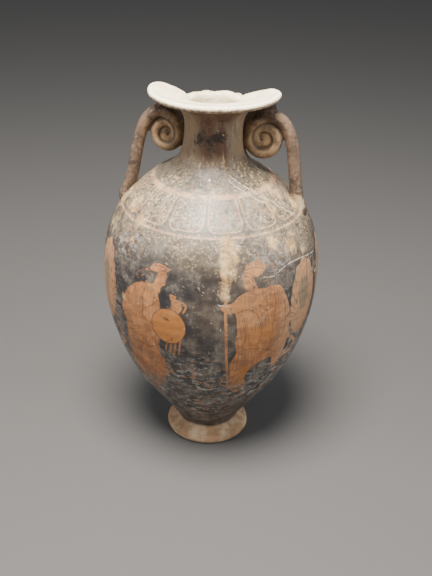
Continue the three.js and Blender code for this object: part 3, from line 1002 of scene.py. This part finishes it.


# The finishes. The wall's outside is black gloss over red clay, thin and satin, worn to grey and brown,
# paler on the shoulder with dust and painted sheen, and darker in hollows and under the lip as painted
# shade; its reserved figures are bare orange clay; the lip has lost its gloss and is nearly white.
class Paint(Tree):
    """A material's nodes, with short calls for the patterns that the finishes share."""

    def __init__(self, material):
        super().__init__(material.node_tree)
        self.tree.nodes.clear()
        self.place = self.add("ShaderNodeTexCoord").outputs["Object"]
        self.xyz = self.add("ShaderNodeSeparateXYZ", Vector=self.place)

    def field(self, name):
        node = self.add("ShaderNodeAttribute", {"attribute_type": "GEOMETRY", "attribute_name": name})
        return node.outputs["Fac"]

    def speckle(self, scale, detail=4.0, rough=0.55, stretch=(1, 1, 1), shift=0.0):
        moved = self.add("ShaderNodeMapping", Vector=self.place)
        moved.inputs["Scale"].default_value = stretch
        moved.inputs["Location"].default_value = (shift, shift, shift)
        return self.add("ShaderNodeTexNoise", Vector=moved, Scale=scale, Detail=detail,
                        Roughness=rough).outputs[0]

    def ramp(self, value, low, high):
        """0 below low, 1 above high, and soft between."""
        node = self.add("ShaderNodeMapRange", {"interpolation_type": "SMOOTHSTEP"}, Value=value)
        node.inputs["From Min"].default_value = low
        node.inputs["From Max"].default_value = high
        return node.outputs[0]

    def chain(self, operation, values):
        result = values[0]
        for value in values[1:]:
            result = self.math(operation, result, value)
        return result

    def times(self, *values):
        return self.chain("MULTIPLY", values)

    def plus(self, *values):
        return self.chain("ADD", values)

    def minus(self, *values):
        return self.chain("SUBTRACT", values)

    def most(self, *values):
        return self.chain("MAXIMUM", values)

    def swing(self, value, by):
        """A pattern's swing to either side of its middle, times a set amount."""
        return self.times(self.minus(value, 0.5), by)

    def colour(self, share, first, second):
        node = self.add("ShaderNodeMix", {"data_type": "RGBA"}, s0=share)
        for value, socket in ((first, node.inputs[6]), (second, node.inputs[7])):
            self.join((*value, 1) if isinstance(value, tuple) else value, socket)
        return node.outputs[2]

    def number(self, share, first, second):
        return self.add("ShaderNodeMix", {"data_type": "FLOAT"}, s0=share, s2=first, s3=second).outputs[0]

    def thin_line(self, name, half):
        close = self.math("ABSOLUTE", self.field(name))
        line = self.minus(1.0, self.ramp(close, half * 0.6, half * 1.4))
        return self.times(line, self.math("LESS_THAN", self.field(name + "_near"), 1.7))

    def finish(self, colour, rough, raised, depth, specular=0.5):
        bump = self.add("ShaderNodeBump", Height=raised, Distance=depth)
        bump.inputs["Strength"].default_value = 1
        shader = self.add("ShaderNodeBsdfPrincipled", Base_Color=colour, Roughness=rough, Normal=bump)
        shader.inputs["Specular IOR Level"].default_value = specular
        self.add("ShaderNodeOutputMaterial", Surface=shader)


TONGUES = 14
TONGUE_START = 18.85
TONGUE_HALF = 0.44
TONGUE_FOOT = 0.2215
TONGUE_CORNER = 0.0065
TONGUE_SQUASH = 1.35
BAND_FOOT = 0.22
RING_TOP = 0.2405
RING_LOW = 0.2183
LINE_SOFTNESS = 0.0005
FADES = {
    "foot": (0.0105, 0.016), "worn_feet": (0.1, 0.075), "dust_and_sheen": (0.185, 0.235),
    "under_neck": (0.239, 0.247), "neck": (0.25, 0.266), "under_lip": (0.2945, 0.2995),
    "lip_shadow": (0.303, 0.3), "lip": (0.3064, 0.3088), "bore": (0.296, 0.272),
}
SCROLL_HEART = (0.0378, 0.272)


class WallPaint(Paint):
    """The wall's material, with the places and patterns that several of its colours share."""

    def __init__(self, material):
        super().__init__(material)
        self.x, self.y, self.height = (self.xyz.outputs[axis] for axis in "XYZ")
        self.angle = self.math("ARCTAN2", self.x, self.times(self.y, -1.0))
        self.grain = self.speckle(320, 5, 0.62)
        self.patch = self.speckle(70, 6, 0.62, shift=3)
        self.broad = self.speckle(22, 4, 0.55, shift=7)


def worn_gloss(p):
    """The gloss: thin and brown in places, scuffed, dust and painted sheen near the neck, rubbed to the clay.
    """
    gloss = p.colour(p.ramp(p.patch, 0.36, 0.66), (0.021, 0.019, 0.019), (0.07, 0.061, 0.055))
    gloss = p.colour(p.times(p.ramp(p.broad, 0.45, 0.7), 0.4), gloss, (0.11, 0.075, 0.05))
    scuffs = p.ramp(p.speckle(430, 4, 0.7, (1, 1, 0.4), 27), 0.54, 0.66)
    gloss = p.colour(p.times(scuffs, p.ramp(p.patch, 0.4, 0.6), 0.4), gloss, (0.24, 0.22, 0.2))
    # Paler towards the neck: partly dust, and partly a painted sheen on the shoulder.
    high_up = p.ramp(p.height, *FADES["dust_and_sheen"])
    dust_and_sheen = p.plus(p.times(high_up, 0.62), p.times(p.ramp(p.patch, 0.5, 0.62), 0.2))
    below_neck = p.number(p.ramp(p.height, *FADES["under_neck"]), 1.0, 0.6)
    dust_and_sheen = p.times(dust_and_sheen, p.ramp(p.grain, 0.25, 0.62), below_neck)
    gloss = p.colour(dust_and_sheen, gloss, (0.29, 0.232, 0.15))
    limed = p.times(high_up, p.ramp(p.speckle(480, 4, 0.6, shift=21), 0.52, 0.64))
    gloss = p.colour(p.times(limed, p.ramp(p.broad, 0.35, 0.55), 0.8), gloss, (0.6, 0.44, 0.23))
    mottled = p.times(p.field("rubbed"), p.ramp(p.speckle(160, 7, 0.75, (1, 1, 1.8), 5), 0.5, 0.6))
    gloss = p.colour(p.times(mottled, 0.85), gloss, (0.4, 0.37, 0.33))
    bitten = p.times(p.field("rubbed"), p.ramp(p.speckle(190, 5, 0.7, shift=11), 0.54, 0.62))
    return p.colour(bitten, gloss, (0.34, 0.17, 0.085))


def neck_paint(p):
    """The neck's brown wash, paler at the sides, streaked downwards, with a dark patch in front."""
    neck_side = p.ramp(p.math("ABSOLUTE", p.minus(p.angle, 0.26)), 0.3, 0.8)
    neck = p.colour(neck_side, (0.12, 0.056, 0.03), (0.25, 0.17, 0.098))
    streak = p.speckle(110, 4, 0.6, (1, 1, 0.12), 1)
    neck = p.colour(p.times(p.ramp(streak, 0.46, 0.66), 0.5), neck, (0.3, 0.24, 0.165))
    thin_streak = p.speckle(330, 5, 0.7, (1, 1, 0.22), 15)
    neck = p.colour(p.times(p.ramp(thin_streak, 0.5, 0.64), 0.6), neck, (0.08, 0.053, 0.038))
    smoke = p.swing(p.speckle(170, 6, 0.72, shift=23), 2.2)
    sooty = p.plus(p.field("soot"), smoke)
    return p.colour(p.times(p.ramp(sooty, 0.4, 0.9), 0.93), neck, (0.02, 0.015, 0.013))


def tongue_band(p):
    """Where the dull ground between the shoulder's tongues shows, and where their lines and rings do."""
    pitch = 2 * math.pi / TONGUES
    share = p.math("DIVIDE", p.minus(p.angle, math.radians(TONGUE_START)), pitch)
    nearest = p.minus(share, p.math("ROUND", share))
    axis = p.math("SQRT", p.plus(p.times(p.x, p.x), p.times(p.y, p.y)))
    across = p.times(p.math("ABSOLUTE", nearest), pitch, axis)
    half_width = p.times(axis, pitch * TONGUE_HALF)
    wander = p.swing(p.speckle(50, 4, shift=9), 0.0042)
    beside = p.plus(p.minus(across, p.minus(half_width, TONGUE_CORNER)), wander)
    below = p.times(p.minus(TONGUE_FOOT + TONGUE_CORNER / TONGUE_SQUASH, p.height), TONGUE_SQUASH)
    beside_out, below_out = p.most(beside, 0.0), p.most(below, 0.0)
    round_part = p.math("SQRT", p.plus(p.times(beside_out, beside_out), p.times(below_out, below_out)))
    inward = p.math("MINIMUM", p.most(beside, below), 0.0)
    beyond = p.minus(p.plus(round_part, inward), TONGUE_CORNER)
    tongue = p.minus(1.0, p.ramp(p.math("ABSOLUTE", beyond), 0.0002, 0.00075))
    in_band = p.times(p.ramp(p.height, BAND_FOOT - LINE_SOFTNESS, BAND_FOOT + LINE_SOFTNESS),
                      p.ramp(p.height, RING_TOP + LINE_SOFTNESS, RING_TOP - LINE_SOFTNESS))
    tongue = p.times(tongue, in_band)
    ground = p.times(p.ramp(beyond, 0.0002, 0.0012), in_band, 0.5)
    wavy = p.plus(p.height, p.times(wander, 0.35))
    top_ring = p.math("ABSOLUTE", p.minus(wavy, RING_TOP))
    low_ring = p.math("ABSOLUTE", p.minus(wavy, RING_LOW))
    ring = p.most(p.minus(1.0, p.ramp(top_ring, 0.0009, 0.0016)),
                  p.minus(1.0, p.ramp(low_ring, 0.0004, 0.0009)))
    kept = p.ramp(p.speckle(150, 7, 0.75, shift=4), 0.44, 0.56)
    lines = p.most(p.times(tongue, p.number(kept, 0.22, 0.85)), p.times(ring, p.number(kept, 0.3, 0.9)))
    return ground, lines


def reserved_clay(p):
    """The bare orange clay of the figures with its dark lines, and where it still shows."""
    orange = p.colour(p.ramp(p.patch, 0.36, 0.64), (0.29, 0.108, 0.034), (0.43, 0.185, 0.066))
    orange = p.colour(p.times(p.ramp(p.grain, 0.46, 0.66), 0.6), orange, (0.22, 0.1, 0.05))
    pale_specks = p.times(p.ramp(p.speckle(260, 5, 0.65, shift=25), 0.52, 0.66), 0.5)
    orange = p.colour(pale_specks, orange, (0.5, 0.28, 0.125))
    orange = p.colour(p.times(p.ramp(p.broad, 0.46, 0.66), 0.5), orange, (0.37, 0.195, 0.085))
    grimy = p.times(p.ramp(p.speckle(95, 7, 0.78, (1, 1, 0.5), 37), 0.46, 0.6), 0.6)
    orange = p.colour(grimy, orange, (0.17, 0.082, 0.042))
    amber = p.times(p.ramp(p.field("amber"), -0.2, 0.6), p.number(p.ramp(p.patch, 0.4, 0.6), 0.85, 0.4))
    orange = p.colour(amber, orange, (0.36, 0.135, 0.028))
    far_round = p.ramp(p.math("ABSOLUTE", p.angle), 0.75, 1.0)
    orange = p.colour(p.times(far_round, 0.4), orange, (0.5, 0.32, 0.19))
    heart = p.times(p.ramp(p.field("heart"), -1.2, 1.2), 0.62)
    orange = p.colour(heart, orange, (0.15, 0.14, 0.095))
    fold_share = p.math("ABSOLUTE", p.minus(p.math("FRACT", p.field("folds")), 0.5))
    fold_line = p.minus(1.0, p.ramp(fold_share, 0.05, 0.13))
    fold_line = p.times(fold_line, p.ramp(p.speckle(120, 3, shift=8), 0.4, 0.56), p.field("fold_ink"))
    disc_edge = p.minus(1.0, p.ramp(p.math("ABSOLUTE", p.field("disc")), 0.25, 0.6))
    pens = p.most(p.thin_line("ink_a", 0.3), p.thin_line("ink_b", 0.3))
    ink = p.most(p.times(fold_line, 0.5), p.times(disc_edge, 0.65), p.times(pens, 0.65))
    orange = p.colour(ink, orange, (0.05, 0.03, 0.02))
    worn_off = p.times(p.ramp(p.speckle(150, 7, 0.75, shift=13), 0.56, 0.64), 0.75)
    faded = p.times(p.ramp(p.height, *FADES["worn_feet"]), p.ramp(p.patch, 0.36, 0.56))
    inside = p.ramp(p.field("figure"), -0.35, 0.35)
    return orange, p.times(inside, p.minus(1.0, p.most(worn_off, faded)))


def foot_paint(p):
    """The foot's clay, dull and darker in patches."""
    clay = p.colour(p.ramp(p.patch, 0.4, 0.64), (0.36, 0.215, 0.11), (0.56, 0.41, 0.25))
    dark = p.ramp(p.speckle(110, 5, 0.6, shift=29), 0.42, 0.66)
    return p.colour(p.times(dark, 0.6), clay, (0.2, 0.13, 0.08))


def under_lip(p):
    """The lip's underside: grainy brown, part stain and part painted shade, darkest towards the neck in
    painted shadow.
    """
    brown = p.colour(p.ramp(p.grain, 0.38, 0.62), (0.2, 0.13, 0.08), (0.52, 0.4, 0.27))
    return p.colour(p.ramp(p.height, *FADES["lip_shadow"]), brown, (0.14, 0.09, 0.06))


def paint_wall(material):
    p = WallPaint(material)
    grain = p.grain
    neck = p.ramp(p.height, *FADES["neck"])
    colour = p.colour(p.times(neck, 0.95), worn_gloss(p), neck_paint(p))
    ground, lines = tongue_band(p)
    colour = p.colour(ground, colour, (0.075, 0.068, 0.062))
    orange, shown = reserved_clay(p)
    colour = p.colour(shown, colour, orange)
    line_colour = p.colour(p.ramp(p.patch, 0.4, 0.65), (0.5, 0.26, 0.14), (0.58, 0.41, 0.26))
    colour = p.colour(lines, colour, line_colour)

    chips = p.times(p.ramp(p.speckle(380, 3, 0.5, shift=17), 0.66, 0.7), p.ramp(p.broad, 0.3, 0.6))
    colour = p.colour(p.times(chips, 0.75), colour, (0.42, 0.31, 0.2))
    scar = p.times(p.thin_line("scar", 0.42), p.number(0.6, 0.4, p.ramp(grain, 0.35, 0.6)))
    colour = p.colour(scar, colour, (0.62, 0.56, 0.46))
    ragged_edge = p.swing(p.speckle(110, 7, 0.72, (1, 1, 0.55), 19), 2.6)
    caked = p.ramp(p.plus(p.field("crust"), ragged_edge), 0.5, 0.95)
    caked = p.times(caked, p.number(p.ramp(grain, 0.38, 0.58), 0.45, 1.0))
    earth = p.colour(p.ramp(p.patch, 0.4, 0.6), (0.44, 0.26, 0.095), (0.62, 0.44, 0.22))
    colour = p.colour(p.times(caked, 0.85), colour, earth)
    # Painted shade: the wall is darker in its hollows and corners, as where the handles and the lip join it.
    groove_shade = p.ramp(p.field("crevice"), 0.05, 0.25)
    colour = p.colour(p.times(groove_shade, 0.5), colour, (0.1, 0.075, 0.05))
    jagged = p.swing(p.speckle(520, 3, 0.6, shift=33), 1.4)
    chipped = p.ramp(p.plus(p.field("chip"), jagged), 0.52, 0.62)
    colour = p.colour(p.times(chipped, 0.9), colour, (0.84, 0.78, 0.7))

    foot = p.minus(1.0, p.ramp(p.height, *FADES["foot"]))
    colour = p.colour(foot, colour, foot_paint(p))
    # Painted shade under the lip: its underside and the flare below it are laid in darker brown.
    colour = p.colour(p.times(p.ramp(p.height, *FADES["under_lip"]), 0.8), colour, under_lip(p))
    lip = p.ramp(p.plus(p.height, p.swing(p.patch, 0.004)), *FADES["lip"])
    torn = p.swing(p.speckle(300, 4, 0.6, shift=35), 1.2)
    nicked = p.ramp(p.plus(p.field("nick"), torn), 0.45, 0.65)
    pale = p.times(lip, p.number(nicked, 1.0, 0.12))
    lime = p.colour(p.ramp(grain, 0.5, 0.72), (0.98, 0.88, 0.66), (0.84, 0.67, 0.43))
    colour = p.colour(pale, colour, lime)

    matt = p.most(pale, foot, caked, p.times(shown, 0.45), p.times(neck, 0.8))
    rough = p.number(matt, p.number(grain, 0.36, 0.56), 0.86)
    raised = p.plus(p.times(p.speckle(900, 3), 0.12), p.times(grain, 0.35), p.times(caked, 0.7))
    raised = p.minus(raised, p.times(chips, 0.5), p.times(scar, 0.5))
    p.finish(colour, rough, raised, 0.0004)


def paint_bare(material):
    p = Paint(material)
    grain = p.speckle(420, 5, 0.65)
    patch = p.speckle(80, 5, 0.6, shift=3)
    # Painted shade: the bare clay is darker further down the bore.
    deep = p.ramp(p.xyz.outputs["Z"], *FADES["bore"])
    clay = p.colour(p.ramp(patch, 0.4, 0.62), (0.97, 0.87, 0.64), (0.85, 0.7, 0.44))
    clay = p.colour(p.times(deep, 0.8), clay, (0.34, 0.25, 0.14))
    clay = p.colour(p.times(p.ramp(grain, 0.56, 0.7), 0.5), clay, (0.36, 0.27, 0.18))
    p.finish(clay, 0.88, p.plus(grain, p.times(patch, 0.8)), 0.0007, 0.3)


def paint_handles(material):
    p = Paint(material)
    height = p.xyz.outputs["Z"]
    grain = p.speckle(420, 5, 0.65)
    patch = p.speckle(75, 6, 0.65, shift=5)
    along = p.speckle(160, 4, 0.6, (1, 1, 0.2), 2)
    from_middle = p.math("ABSOLUTE", p.xyz.outputs["X"])
    aside = p.minus(from_middle, SCROLL_HEART[0])
    aloft = p.minus(height, SCROLL_HEART[1])
    from_heart = p.math("SQRT", p.plus(p.times(aside, aside), p.times(aloft, aloft)))
    rod = p.colour(p.ramp(patch, 0.38, 0.62), (0.045, 0.03, 0.021), (0.135, 0.085, 0.055))
    rod = p.colour(p.times(p.ramp(along, 0.46, 0.62), 0.6), rod, (0.17, 0.1, 0.056))
    curl = p.colour(p.ramp(patch, 0.38, 0.62), (0.26, 0.15, 0.07), (0.46, 0.3, 0.155))
    curl = p.colour(p.ramp(from_heart, 0.0115, 0.0085), p.colour(0.5, curl, rod), curl)
    colour = p.colour(p.ramp(from_heart, 0.0195, 0.0155), rod, curl)
    colour = p.colour(p.times(p.ramp(grain, 0.5, 0.68), 0.45), colour, (0.36, 0.26, 0.17))
    dark = p.ramp(p.speckle(170, 6, 0.75, shift=9), 0.52, 0.66)
    colour = p.colour(p.times(dark, 0.7), colour, (0.05, 0.034, 0.025))
    # Painted shade: the handles are darker in their hollows, between the scroll's turns and on the webs.
    groove_shade = p.ramp(p.field("crevice"), 0.04, 0.22)
    groove_shade = p.most(p.times(groove_shade, 0.7), p.times(p.ramp(p.field("groove_shade"), 0.1, 1.0), 0.85))
    colour = p.colour(groove_shade, colour, (0.05, 0.032, 0.02))
    ridge = p.ramp(p.field("crevice"), -0.16, -0.3)
    colour = p.colour(p.times(ridge, 0.4), colour, (0.5, 0.4, 0.3))
    caked = p.plus(p.field("crust"), p.swing(patch, 2.0))
    caked = p.ramp(caked, 0.6, 0.95)
    colour = p.colour(p.times(caked, 0.8), colour, (0.5, 0.38, 0.22))
    p.finish(colour, 0.62, p.plus(grain, patch), 0.0005, 0.45)


paint_wall(painted_surface)
paint_bare(bare_surface)
paint_handles(handle_surface)

used = np.empty(len(vase.data.polygons), np.int32)
vase.data.polygons.foreach_get("material_index", used)
empty_slots = [i for i, material in enumerate(vase.data.materials) if material is None]
used = used - np.searchsorted(empty_slots, used, side="left")
kept_materials = [material for material in vase.data.materials if material is not None]
vase.data.materials.clear()
for material in kept_materials:
    vase.data.materials.append(material)
vase.data.polygons.foreach_set("material_index", used.astype(np.int32))
vase.data.polygons.foreach_set("use_smooth", np.ones(len(used), bool))
vase.data.update()

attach(vase, "root")
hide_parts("vase")
